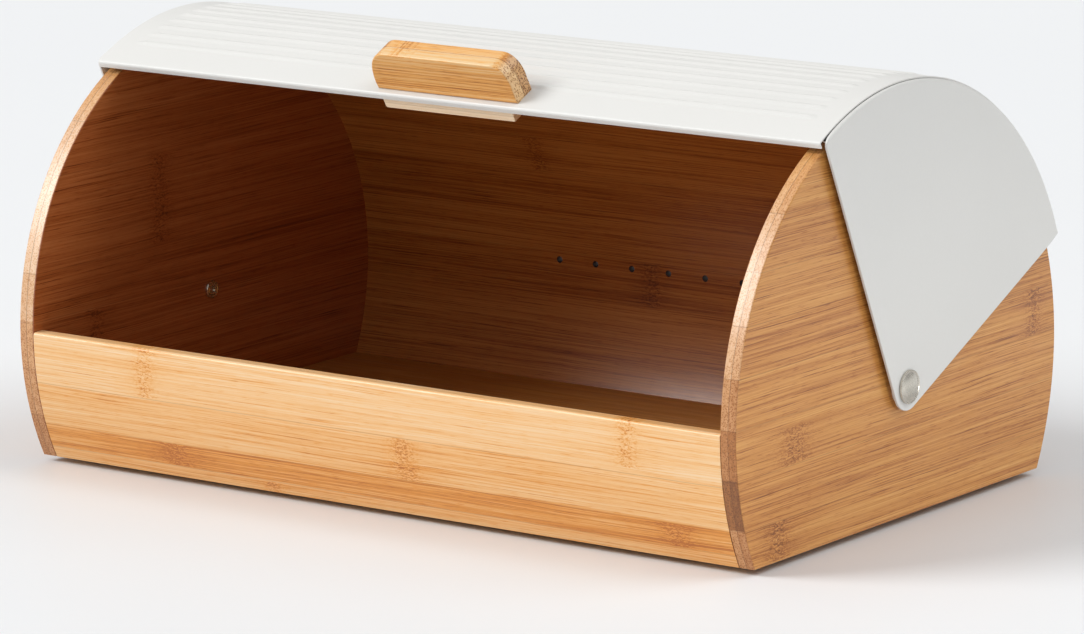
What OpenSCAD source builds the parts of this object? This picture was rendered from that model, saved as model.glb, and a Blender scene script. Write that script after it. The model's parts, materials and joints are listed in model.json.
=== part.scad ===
// Bread box with a roll-top lid: a laminated bamboo case with disc-shaped sides, a curved
// front and a curved back that runs over the top, and a ribbed sheet-metal lid that turns
// about two pivot screws and rolls back over the case.
// X runs along the case, -Y is the front, +Z is up. The origin is on the floor, centred.

/* [Case] */
// Length over the two side panels
case_w = 390; // [260:5:520]
// Radius of the side panels, about the pivots
panel_r = 127.5; // [115:0.5:160]
// Height of the pivots above the underside of the case
pivot_h = 58.5; // [50:0.5:75]
// Thickness of the side panels
side_t = 8; // [7:0.5:14]
// Thickness of the curved front and back
wall_t = 7; // [6:0.5:12]
// Thickness of the base board
base_t = 9; // [8:0.5:15]
// Height of the front above the underside of the case
front_h = 60; // [52:0.5:80]
// Height of the rubber feet
foot_h = 3; // [2.5:0.5:6]
// Diameter of the rubber feet
foot_d = 13; // [11:0.5:20]
// Distance of each foot's centre from the case's end
foot_in_x = 28; // [20:1:60]
// Distance of each foot's centre from the base board's long edge
foot_in_y = 16; // [12:1:40]

/* [Vents] */
// Number of holes in the row across the back
vent_count = 8; // [2:2:12]
// Diameter of each hole
vent_d = 3.2; // [2:0.2:6]
// Spacing of the holes
vent_pitch = 20.8; // [12:0.2:20.8]
// Height of the row above the pivots, as an angle
vent_angle = 3.2; // [0:0.1:20]

/* [Lid] */
// Gap between the case and the inside of the lid sheet
lid_gap = 5.7; // [4:0.1:12]
// Thickness of the lid sheet
sheet_t = 0.8; // [0.6:0.1:1.5]
// Thickness of the lid's end plates
plate_t = 1; // [0.8:0.1:2]
// Gap between a side panel and its end plate
plate_gap = 2.5; // [1.5:0.1:5]
// Angle of the lid's front edge forward of upright, lid open
lid_front = 30; // [26:0.5:34]
// Angle of the lid's rear edge behind upright, lid open
lid_rear = 70; // [66:0.5:74]
// Depth of the lips along the lid's long edges
lip_h = 3; // [2:0.1:4]
// Radius of the end plates round the pivots
apex_r = 10.5; // [9.5:0.5:14]
// Width of the flange that carries the sheet on each end plate
flange_w = 9; // [5:0.5:14]
// Distance from the end of the sheet to the plate's outer face
sheet_in = 2; // [1.5:0.1:3]

/* [Ribs] */
// Width of each pressed rib
rib_w = 4; // [3:0.1:5]
// Height of each pressed rib
rib_h = 0.7; // [0.4:0.05:1]
// Angle from one rib to the next
rib_pitch = 3.5; // [3:0.1:5]
// Gap between the handle and the rib behind it
rib_gap = 0.3; // [0.2:0.1:3]
// Angle kept plain along the lid's rear edge
rib_rear = 8; // [6:0.5:14]
// Distance from the end of a rib to the end of the sheet
rib_end = 10.5; // [8:0.5:20]

/* [Handle] */
// Length of the handle
handle_l = 77; // [60:1:120]
// Height of the handle above the sheet
handle_h = 19; // [14:0.5:24]
// Thickness of the handle
handle_t = 12; // [10:0.5:14]
// Radius of the handle's top corners
handle_r = 9; // [4:0.5:12]
// Narrowing of the handle at each end, base to top
handle_taper = 2; // [0:0.5:4]
// Length of the batten inside the lid
batten_l = 71; // [50:1:110]
// Depth of the batten below the sheet
batten_t = 8.2; // [7.5:0.1:9.5]
// Distance between the two handle screws
screw_span = 44; // [30:1:50]
// Shank diameter of the handle screws
screw_d = 3; // [2.5:0.1:4]

/* [Pivots] */
// Diameter of the pivot screw's shoulder
shoulder_d = 6; // [5:0.1:8]
// Diameter of the pivot screw's head
head_d = 15; // [12:0.5:20]
// Height of the pivot screw's head
head_h = 1.8; // [1.4:0.1:3]
// Diameter of the pivot screw's threaded end
thread_d = 4; // [3:0.1:4.5]
// Diameter of the sleeve nut's flange
nut_d = 8.5; // [8.5:0.5:14]
// Height of the sleeve nut's flange
nut_h = 1.2; // [0.8:0.1:2]
// Diameter of the spacer between panel and plate
spacer_d = 16; // [12:0.5:20]

/* [Dowels] */
// Diameter of the wooden dowels
dowel_d = 4; // [3:0.1:4.5]
// Depth of each dowel in a side panel
dowel_side = 5; // [4:0.5:6]
// Depth of each dowel in the panel beside it
dowel_in = 15; // [10:1:20]

/* [Fits] */
// Running clearance on radius at the pivots
run_gap = 0.05; // [0.03:0.01:0.1]
// Clearance on radius round dowels, nuts and screws
push_gap = 0.05; // [0.02:0.01:0.1]
// Side play between the lid's plates and the spacers and heads
side_play = 0.15; // [0.1:0.05:0.4]
// Clearance between the base board and the curved walls
board_gap = 0.1; // [0.05:0.05:0.5]
// Gap left at the open stop, batten to roof edge
stop_gap = 0.5; // [0.3:0.1:1]

/* [Hidden] */
// Which piece to draw
$fn = 96;
bamboo = "burlywood";
bamboo_dark = "peru";
steel = "silver";
white = "whitesmoke";
rubber = "dimgray";
// A little more than nothing, for cuts that run past a face
past = 1;

// Heights and faces of the case
pivot_z = foot_h + pivot_h;
side_x = case_w / 2;
inner_x = side_x - side_t;
wall_r = panel_r - wall_t;
wall_mid_r = panel_r - wall_t / 2;
board_r = wall_r - board_gap;
board_half = sqrt(board_r * board_r - pivot_h * pivot_h);
big = 4 * panel_r;

// Radii and faces of the lid
sheet_in_r = panel_r + lid_gap;
lid_r = sheet_in_r + sheet_t;
plate_in_x = side_x + plate_gap;
plate_out_x = plate_in_x + plate_t;
sheet_x = plate_out_x - sheet_in;
lip_angle = asin(sheet_t / lid_r);
plate_margin = 2 * lip_angle;
rib_x = sheet_x - rib_end;
rib_curve = (rib_w * rib_w / 4 + rib_h * rib_h) / (2 * rib_h);

// The handle and batten stand on one radius, just behind the front lip
batten_front = lid_front - 1.5 * lip_angle;
grip_angle = lid_front - lip_angle - 1 - asin(handle_t / 2 / lid_r);
batten_rear = 2 * grip_angle - batten_front;
batten_r = sheet_in_r - batten_t;
roof_front = batten_rear - asin(stop_gap / panel_r);

// Ribs run back from the handle at an even pitch
rib_front = grip_angle - asin((handle_t / 2 + rib_gap + rib_w / 2) / lid_r);
rib_count = floor((rib_front + lid_rear - rib_rear) / rib_pitch) + 1;

// Pivot stack, from the panel's outer face
spacer_t = plate_gap - side_play;
head_x = plate_out_x + side_play;
nut_len = side_t - 0.4;
thread_len = side_t - 1.5;

// Handle screws run in from the batten's inner face
screw_head_d = 2 * screw_d;
screw_head_h = 0.6 * screw_d;
screw_grip = 12;
screw_r = batten_r + 0.2;
screw_top_r = lid_r + screw_grip;

// Dowel places: angles behind upright on the curved walls, and places along the base
front_dowels_at = [-97, -110];
back_dowels_at = [-12, 26, 64, 102];
base_dowels_at = [-0.6 * board_half, 0, 0.6 * board_half];
foot_x = side_x - foot_in_x;
foot_y = board_half - foot_in_y;
foot_screw_d = 2.6;
foot_screw_head_d = 5.6;
foot_screw_head_h = 1.4;
foot_screw_in = base_t - 3;

// A point at radius r, a degrees behind upright
function at(r, a) = [r * sin(a), r * cos(a)];

// Extrudes an outline drawn in Y and Z along X, centred, about the pivots
module along_x(len) {
  translate([0, 0, pivot_z])
    rotate([90, 0, 90])
      linear_extrude(height = len, center = true)
        children();
}

// A wedge between two angles behind upright
module wedge(from, to) {
  steps = 6;
  polygon(concat([[0, 0]], [for (i = [0:steps]) at(big, from + (to - from) * i / steps)]));
}

// A band between two radii and two angles
module band(r_in, r_out, from, to) {
  intersection() {
    difference() {
      circle(r = r_out);
      circle(r = r_in);
    }
    wedge(from, to);
  }
}

// The part of an outline above a height measured from the pivots
module above(z) {
  intersection() {
    children();
    translate([-big, z]) square([2 * big, big]);
  }
}

// A round bar along X, from x0 to x1, at a place in Y and Z
module bar_x(x0, x1, yz, d) {
  translate([x0, yz[0], yz[1]])
    rotate([0, 90, 0])
      cylinder(h = x1 - x0, d = d);
}

// Places of the dowels on the two curved walls and the base
module at_wall_dowels(angles, d, back_by) {
  for (side = [0, 1], a = angles)
    mirror([side, 0, 0])
      translate([0, 0, pivot_z])
        bar_x(inner_x - dowel_in - back_by, inner_x + dowel_side + back_by, at(wall_mid_r, a), d);
}

module at_base_dowels(d, back_by) {
  for (side = [0, 1], y = base_dowels_at)
    mirror([side, 0, 0])
      bar_x(inner_x - dowel_in - back_by, inner_x + dowel_side + back_by,
            [y, foot_h + base_t / 2], d);
}

module dowel_bores() {
  bore_d = dowel_d + 2 * push_gap;
  at_wall_dowels(front_dowels_at, bore_d, push_gap);
  at_wall_dowels(back_dowels_at, bore_d, push_gap);
  at_base_dowels(bore_d, push_gap);
}

// A disc with a flat base, drilled for the dowels and the pivot nut
module side_panel(side) {
  color(bamboo)
    difference() {
      translate([side * (inner_x + side_t / 2), 0, 0])
        along_x(side_t)
          above(-pivot_h) circle(r = panel_r);
      dowel_bores();
      translate([-side_x - past, 0, 0])
        bar_x(0, 2 * side_x + 2 * past, [0, pivot_z], shoulder_d + 2 * push_gap);
    }
}

module side_panel_left() {
  side_panel(-1);
}

module side_panel_right() {
  side_panel(1);
}

module front_panel() {
  color(bamboo)
    difference() {
      along_x(2 * inner_x)
        intersection() {
          above(-pivot_h)
            band(wall_r, panel_r, -180, -60);
          translate([-big, front_h - pivot_h - big]) square([big, big]);
        }
      at_wall_dowels(front_dowels_at, dowel_d + 2 * push_gap, push_gap);
    }
}

// Curved back that runs over the top to the open stop, with its row of vents
module back_panel() {
  color(bamboo)
    difference() {
      along_x(2 * inner_x)
        above(-pivot_h)
          band(wall_r, panel_r, -roof_front, 150);
      at_wall_dowels(back_dowels_at, dowel_d + 2 * push_gap, push_gap);
      for (i = [0:vent_count - 1])
        translate([(i - (vent_count - 1) / 2) * vent_pitch, 0, pivot_z])
          rotate([vent_angle - 90, 0, 0])
            translate([0, 0, wall_r - wall_t])
              cylinder(h = 3 * wall_t, d = vent_d);
    }
}

module base_board() {
  color(bamboo_dark)
    difference() {
      along_x(2 * inner_x)
        intersection() {
          circle(r = board_r);
          translate([-big, -pivot_h]) square([2 * big, base_t]);
        }
      at_base_dowels(dowel_d + 2 * push_gap, push_gap);
      for (x = [-1, 1], y = [-1, 1])
        translate([x * foot_x, y * foot_y, foot_h - past])
          cylinder(h = foot_screw_in + past, d = foot_screw_d + 2 * push_gap);
    }
}

module front_dowels() {
  color(bamboo_dark) at_wall_dowels(front_dowels_at, dowel_d, 0);
}

module back_dowels() {
  color(bamboo_dark) at_wall_dowels(back_dowels_at, dowel_d, 0);
}

module base_dowels() {
  color(bamboo_dark) at_base_dowels(dowel_d, 0);
}

// A rubber button with a sunk screw
module foot(x, y) {
  color(rubber)
    translate([x * foot_x, y * foot_y, 0])
      difference() {
        cylinder(h = foot_h, d = foot_d);
        translate([0, 0, -past])
          cylinder(h = foot_h + 2 * past, d = foot_screw_d + 2 * push_gap);
        translate([0, 0, -past])
          cylinder(h = foot_screw_head_h + 0.3 + past, d = foot_screw_head_d + 0.4);
      }
}

module foot_front_left() {
  foot(-1, -1);
}

module foot_front_right() {
  foot(1, -1);
}

module foot_rear_left() {
  foot(-1, 1);
}

module foot_rear_right() {
  foot(1, 1);
}

module foot_screws() {
  color(steel)
    for (x = [-1, 1], y = [-1, 1])
      translate([x * foot_x, y * foot_y, 0.3]) {
        cylinder(h = foot_screw_head_h, d = foot_screw_head_d);
        cylinder(h = foot_h + foot_screw_in - 0.6, d = foot_screw_d);
      }
}

// Low domed head, shoulder that the plate turns on, and thread
module pivot_screw(side) {
  color(steel)
    mirror([side < 0 ? 1 : 0, 0, 0])
      translate([0, 0, pivot_z])
        rotate([0, 90, 0])
          rotate_extrude()
            polygon([
              [0, side_x - thread_len], [thread_d / 2, side_x - thread_len],
              [thread_d / 2, side_x], [shoulder_d / 2, side_x],
              [shoulder_d / 2, head_x], [head_d / 2, head_x],
              [head_d / 2, head_x + 0.55 * head_h],
              [0.46 * head_d, head_x + 0.85 * head_h],
              [0.3 * head_d, head_x + 0.97 * head_h], [0, head_x + head_h]
            ]);
}

module pivot_screw_left() {
  pivot_screw(-1);
}

module pivot_screw_right() {
  pivot_screw(1);
}

// Flanged sleeve nut with a round socket in its face
module pivot_nut(side) {
  color(steel)
    mirror([side < 0 ? 1 : 0, 0, 0])
      translate([0, 0, pivot_z])
        rotate([0, 90, 0])
          difference() {
            union() {
              translate([0, 0, inner_x - nut_h]) cylinder(h = nut_h, d = nut_d);
              translate([0, 0, inner_x - nut_h]) cylinder(h = nut_h + nut_len, d = shoulder_d);
            }
            translate([0, 0, inner_x])
              cylinder(h = side_t + past, d = thread_d + 2 * push_gap);
            translate([0, 0, inner_x - nut_h - past])
              cylinder(h = past + 0.6 * nut_h, d = 0.75 * thread_d);
          }
}

module pivot_nut_left() {
  pivot_nut(-1);
}

module pivot_nut_right() {
  pivot_nut(1);
}

module pivot_spacer(side) {
  color(white)
    mirror([side < 0 ? 1 : 0, 0, 0])
      difference() {
        bar_x(side_x, side_x + spacer_t, [0, pivot_z], spacer_d);
        bar_x(side_x - past, side_x + spacer_t + past, [0, pivot_z],
              shoulder_d + 2 * push_gap);
      }
}

module pivot_spacer_left() {
  pivot_spacer(-1);
}

module pivot_spacer_right() {
  pivot_spacer(1);
}

// The handle screws' axes, in the frame of the handle's own radius
module at_handle_screws() {
  translate([0, 0, pivot_z])
    rotate([grip_angle, 0, 0])
      for (x = [-1, 1])
        translate([x * screw_span / 2, 0, 0])
          children();
}

module screw_holes(d) {
  at_handle_screws()
    translate([0, 0, batten_r - past])
      cylinder(h = screw_top_r - batten_r + past + push_gap, d = d);
}

// A lip bent in along a long edge of the sheet, lying on one side of that edge's radius
module lip(edge, way) {
  rotate(-edge)
    translate([way < 0 ? -sheet_t : 0, lid_r - lip_h])
      square([sheet_t, lip_h - sheet_t / 2]);
}

// Curved sheet with a lip along each long edge and a row of pressed ribs. Its circles are
// fine, because the ribs stand only a little above the sheet.
module lid_shell() {
  $fn = 360;
  color(white)
    difference() {
      union() {
        along_x(2 * sheet_x) {
          band(sheet_in_r, lid_r, -lid_front, lid_rear);
          lip(-lid_front, 1);
          lip(lid_rear, -1);
        }
        along_x(2 * rib_x)
          difference() {
            for (i = [0:rib_count - 1])
              translate(at(lid_r + rib_h - rib_curve, i * rib_pitch - rib_front))
                circle(r = rib_curve, $fn = 48);
            circle(r = lid_r - sheet_t / 2);
          }
      }
      screw_holes(screw_d + 1);
    }
}

// Sector plate: round at the pivot, straight edges out to the sheet, flange under the sheet
module lid_plate(side) {
  front_a = lid_front - plate_margin;
  rear_a = lid_rear - plate_margin;
  // The straight edges run just inside the tangents, so that they cross the round corner
  apex_in = apex_r - 0.15;
  slip = asin(apex_in / sheet_in_r);
  front_dir = at(1, slip - front_a);
  rear_dir = at(1, rear_a - slip);
  front_foot = apex_in * [-front_dir[1], front_dir[0]];
  rear_foot = apex_in * [rear_dir[1], -rear_dir[0]];
  color(white)
    difference() {
      union() {
        translate([side * (plate_in_x + plate_t / 2), 0, 0])
          along_x(plate_t)
            intersection() {
              circle(r = sheet_in_r);
              union() {
                circle(r = apex_r);
                polygon([
                  [0, 0], front_foot, front_foot + 2 * sheet_in_r * front_dir,
                  at(3 * sheet_in_r, (rear_a - front_a) / 2),
                  rear_foot + 2 * sheet_in_r * rear_dir, rear_foot
                ]);
              }
            }
        translate([side * (plate_in_x - flange_w / 2), 0, 0])
          along_x(flange_w)
            band(sheet_in_r - plate_t, sheet_in_r, plate_margin - front_a, rear_a - plate_margin);
      }
      translate([side * plate_in_x, 0, 0])
        bar_x(-2 * plate_t - past, 2 * plate_t + past, [0, pivot_z], shoulder_d + 2 * run_gap);
    }
}

module lid_plate_left() {
  lid_plate(-1);
}

module lid_plate_right() {
  lid_plate(1);
}

// Outline of the handle along the lid: tapered ends and rounded top corners
module handle_outline() {
  top = lid_r + handle_h;
  half = handle_l / 2;
  top_half = half - handle_taper;
  side_half = half - handle_taper * (handle_h - handle_r) / handle_h;
  union() {
    polygon([
      [-half, sheet_in_r], [half, sheet_in_r], [side_half, top - handle_r],
      [top_half - handle_r, top], [handle_r - top_half, top], [-side_half, top - handle_r]
    ]);
    intersection() {
      for (x = [-1, 1])
        translate([x * (side_half - handle_r), top - handle_r]) circle(r = handle_r);
      translate([-half, lid_r]) square([2 * half, handle_h]);
    }
  }
}

module lid_handle() {
  color(bamboo)
    difference() {
      translate([0, 0, pivot_z])
        rotate([grip_angle, 0, 0])
          rotate([90, 0, 0])
            linear_extrude(height = handle_t, center = true)
              handle_outline();
      along_x(2 * handle_l) circle(r = lid_r);
      screw_holes(screw_d + 2 * push_gap);
    }
}

module lid_batten() {
  color(bamboo)
    difference() {
      along_x(batten_l)
        band(batten_r, sheet_in_r, -batten_front, -batten_rear);
      screw_holes(screw_d + 2 * push_gap);
      at_handle_screws()
        translate([0, 0, batten_r - past])
          cylinder(h = past + screw_head_h + 0.4, d = screw_head_d + 2 * push_gap);
    }
}

module handle_screws() {
  color(steel)
    at_handle_screws() {
      translate([0, 0, screw_r]) cylinder(h = screw_head_h, d = screw_head_d);
      translate([0, 0, screw_r]) cylinder(h = screw_top_r - screw_r, d = screw_d);
    }
}

side_panel_left();
side_panel_right();
front_panel();
back_panel();
base_board();
front_dowels();
back_dowels();
base_dowels();
foot_front_left();
foot_front_right();
foot_rear_left();
foot_rear_right();
foot_screws();
pivot_screw_left();
pivot_screw_right();
pivot_nut_left();
pivot_nut_right();
pivot_spacer_left();
pivot_spacer_right();
lid_shell();
lid_plate_left();
lid_plate_right();
lid_handle();
lid_batten();
handle_screws();
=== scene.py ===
"""Bread box with a roll-top lid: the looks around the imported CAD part. Metres, in the CAD frame."""

import json
import math

import bmesh
import bpy
from mathutils import Matrix, Vector


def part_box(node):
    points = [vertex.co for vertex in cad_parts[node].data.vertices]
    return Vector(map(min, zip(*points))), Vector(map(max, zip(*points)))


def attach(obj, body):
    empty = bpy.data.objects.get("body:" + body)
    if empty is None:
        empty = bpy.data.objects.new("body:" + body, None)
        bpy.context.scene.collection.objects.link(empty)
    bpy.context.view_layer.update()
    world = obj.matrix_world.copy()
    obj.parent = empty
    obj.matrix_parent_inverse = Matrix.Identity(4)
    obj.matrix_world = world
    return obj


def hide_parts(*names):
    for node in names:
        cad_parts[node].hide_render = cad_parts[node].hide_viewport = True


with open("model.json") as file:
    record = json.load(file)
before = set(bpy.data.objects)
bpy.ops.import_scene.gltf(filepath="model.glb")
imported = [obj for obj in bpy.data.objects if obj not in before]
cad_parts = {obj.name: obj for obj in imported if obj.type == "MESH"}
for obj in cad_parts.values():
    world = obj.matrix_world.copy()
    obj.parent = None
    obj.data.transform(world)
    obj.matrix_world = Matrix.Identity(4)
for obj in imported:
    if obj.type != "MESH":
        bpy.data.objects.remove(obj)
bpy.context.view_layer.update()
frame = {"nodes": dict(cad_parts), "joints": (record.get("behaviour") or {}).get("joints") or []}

MM = 0.001
PIVOT = Vector(frame["joints"][0]["pos_m"])
panel_lo, panel_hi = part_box("side_panel_right")
plate_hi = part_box("lid_plate_right")[1]
screw_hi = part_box("pivot_screw_right")[1]
nut_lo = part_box("pivot_nut_right")[0]

# Radii are measured from the pivot axis, angles in degrees behind upright
PANEL_R = (panel_hi.y - panel_lo.y) / 2
INNER_X, SIDE_X = panel_lo.x, panel_hi.x
WALL_R = PANEL_R - 7 * MM
FLAT_Z = panel_lo.z - PIVOT.z
FRONT_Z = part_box("front_panel")[1].z - PIVOT.z
PLATE_IN, PLATE_OUT = plate_hi.x - 1 * MM, plate_hi.x
SHEET_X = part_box("lid_shell")[1].x
SHEET_T = 0.8 * MM
LID_R = 134 * MM
SHEET_IN = LID_R - SHEET_T
LID_FRONT, LID_REAR = -30.0, 70.0
LIP, BEND, SHEET_STEP = 3.0 * MM, 1.3 * MM, 0.25
PLATE_FRONT, PLATE_REAR = LID_FRONT + 0.7, LID_REAR - 0.7
APEX_R, CORNER = 10.5 * MM, 3.6 * MM
GRIP = -26.09
RIB_FIRST, RIB_PITCH, RIB_COUNT = -22.54, 3.5, 25
RIB_X = SHEET_X - 10.5 * MM
RIB_H, RIB_W, RIB_RUN = 0.69 * MM, 4.6 * MM, 5 * MM
SHANK_R, BORE_R = 3.0 * MM, 3.05 * MM
KNOT_W, HALO_W = 4.2, 13.0


# ---------------------------------------------------------------- mesh tools


def at(r, a):
    """A point at radius r, a degrees behind upright, in Y and Z from the pivots."""
    return (r * math.sin(math.radians(a)), r * math.cos(math.radians(a)))


def arc(r, a0, a1, n, centre=(0.0, 0.0)):
    """Points of an arc from angle a0 to a1, in n steps."""
    out = []
    for i in range(n + 1):
        y, z = at(r, a0 + (a1 - a0) * i / n)
        out.append((centre[0] + y, centre[1] + z))
    return out


def area(pts):
    """Signed area of a closed outline."""
    return 0.5 * sum(p[0] * q[1] - q[0] * p[1] for p, q in zip(pts, pts[1:] + pts[:1]))


def rounded(corners, n=5):
    """Outline from (p, q, radius) corners, each rounded to its radius."""
    out = []
    count = len(corners)
    for i, (x, y, r) in enumerate(corners):
        c = Vector((x, y))
        a = Vector(corners[i - 1][:2]) - c
        b = Vector(corners[(i + 1) % count][:2]) - c
        if r <= 0 or a.length < 1e-9 or b.length < 1e-9:
            out.append((x, y))
            continue
        a, b = a.normalized(), b.normalized()
        half = a.angle(b) / 2
        if half > math.radians(88):
            out.append((x, y))
            continue
        cut = r / math.tan(half)
        mid = c + (a + b).normalized() * (r / math.sin(half))
        p, q = c + a * cut - mid, c + b * cut - mid
        turn = p.angle(q)
        axis = 1 if p.x * q.y - p.y * q.x > 0 else -1
        for k in range(n + 1):
            t = axis * turn * k / n
            cos, sin = math.cos(t), math.sin(t)
            out.append((mid.x + p.x * cos - p.y * sin, mid.y + p.x * sin + p.y * cos))
    return out


def inward(pts):
    """At each point of a closed outline, the step in for an inset of one."""
    sign = 1 if area(pts) > 0 else -1
    out = []
    n = len(pts)
    for i in range(n):
        p, c, q = Vector(pts[i - 1]), Vector(pts[i]), Vector(pts[(i + 1) % n])
        e1, e2 = (c - p).normalized(), (q - c).normalized()
        n1, n2 = Vector((-e1.y, e1.x)) * sign, Vector((-e2.y, e2.x)) * sign
        m = n1 + n2
        out.append(m / max(0.35, 1 + n1.dot(n2)))
    return out


def build(name, verts, faces, mats, sharp=35, marks=None):
    """An object at the pivots from vertices and faces, smooth but for its sharp edges."""
    mesh = bpy.data.meshes.new(name)
    mesh.from_pydata([tuple(v) for v in verts], [], faces)
    for m in mats:
        mesh.materials.append(m)
    if marks:
        for poly, mark in zip(mesh.polygons, marks):
            poly.material_index = mark
    bm = bmesh.new()
    bm.from_mesh(mesh)
    bmesh.ops.recalc_face_normals(bm, faces=bm.faces)
    bm.to_mesh(mesh)
    bm.free()
    mesh.polygons.foreach_set("use_smooth", [True] * len(mesh.polygons))
    mesh.set_sharp_from_angle(angle=math.radians(sharp))
    obj = bpy.data.objects.new(name, mesh)
    bpy.context.scene.collection.objects.link(obj)
    obj.location = PIVOT
    weigh = obj.modifiers.new("even_normals", "WEIGHTED_NORMAL")
    weigh.keep_sharp = True
    return obj


def pick(value, i):
    """The value, or its own entry where there is one for each point."""
    return value[i] if isinstance(value, (list, tuple)) else value


def slab(pts, layers, place, hole=None):
    """Rings of an outline, each at a depth w and an inset, with flat ends. place(p, q, w) gives the point.
    layers holds (w, inset), each a number or a list; hole is (p, q, radius) inside the outline."""
    steps = inward(pts)
    n = len(pts)
    verts, faces = [], []
    for w, inset in layers:
        for i, (p, s) in enumerate(zip(pts, steps)):
            d = pick(inset, i)
            verts.append(place(p[0] + s.x * d, p[1] + s.y * d, pick(w, i)))
    for k in range(len(layers) - 1):
        for i in range(n):
            j = (i + 1) % n
            a = k * n
            faces.append((a + i, a + j, a + n + j, a + n + i))
    last = (len(layers) - 1) * n
    if hole is None:
        faces.append(tuple(range(n)))
        faces.append(tuple(range(last, last + n)))
        return verts, faces
    hp, hq, hr = hole
    rings = []
    for w in (layers[0][0], layers[-1][0]):
        start = len(verts)
        for i, p in enumerate(pts):
            d = Vector((p[0] - hp, p[1] - hq)).normalized() * hr
            verts.append(place(hp + d.x, hq + d.y, pick(w, i)))
        rings.append(start)
    for i in range(n):
        j = (i + 1) % n
        faces.append((i, j, rings[0] + j, rings[0] + i))
        faces.append((last + i, last + j, rings[1] + j, rings[1] + i))
        faces.append((rings[0] + i, rings[0] + j, rings[1] + j, rings[1] + i))
    return verts, faces


def eased(w0, w1, r, n=3):
    """Layers from w0 to w1 whose two edges are rounded to r."""
    out = []
    way = 1 if w1 > w0 else -1
    for k in range(n + 1):
        t = math.pi / 2 * k / n
        out.append((w0 + way * r * (1 - math.cos(t)), r * (1 - math.sin(t))))
    for k in range(n + 1):
        t = math.pi / 2 * (1 - k / n)
        out.append((w1 - way * r * (1 - math.cos(t)), r * (1 - math.sin(t))))
    return out


def lathe(profile, side, n=72):
    """A profile of (x, radius) turned about the pivot axis, mirrored by side."""
    verts, faces = [], []
    for x, r in profile:
        for i in range(n):
            y, z = at(max(r, 1e-6), 360 * i / n)
            verts.append((side * x, y, z))
    for k in range(len(profile) - 1):
        for i in range(n):
            j = (i + 1) % n
            faces.append((k * n + i, k * n + j, (k + 1) * n + j, (k + 1) * n + i))
    faces.append(tuple(range(n)))
    faces.append(tuple(range((len(profile) - 1) * n, len(profile) * n)))
    return verts, faces


def finish_piece(obj, body, slot, *nodes):
    """Puts a piece on its body, in the place of its CAD nodes; its slot is not used."""
    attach(obj, body)
    if nodes:
        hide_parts(*nodes)


# ---------------------------------------------------------------- materials


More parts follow.
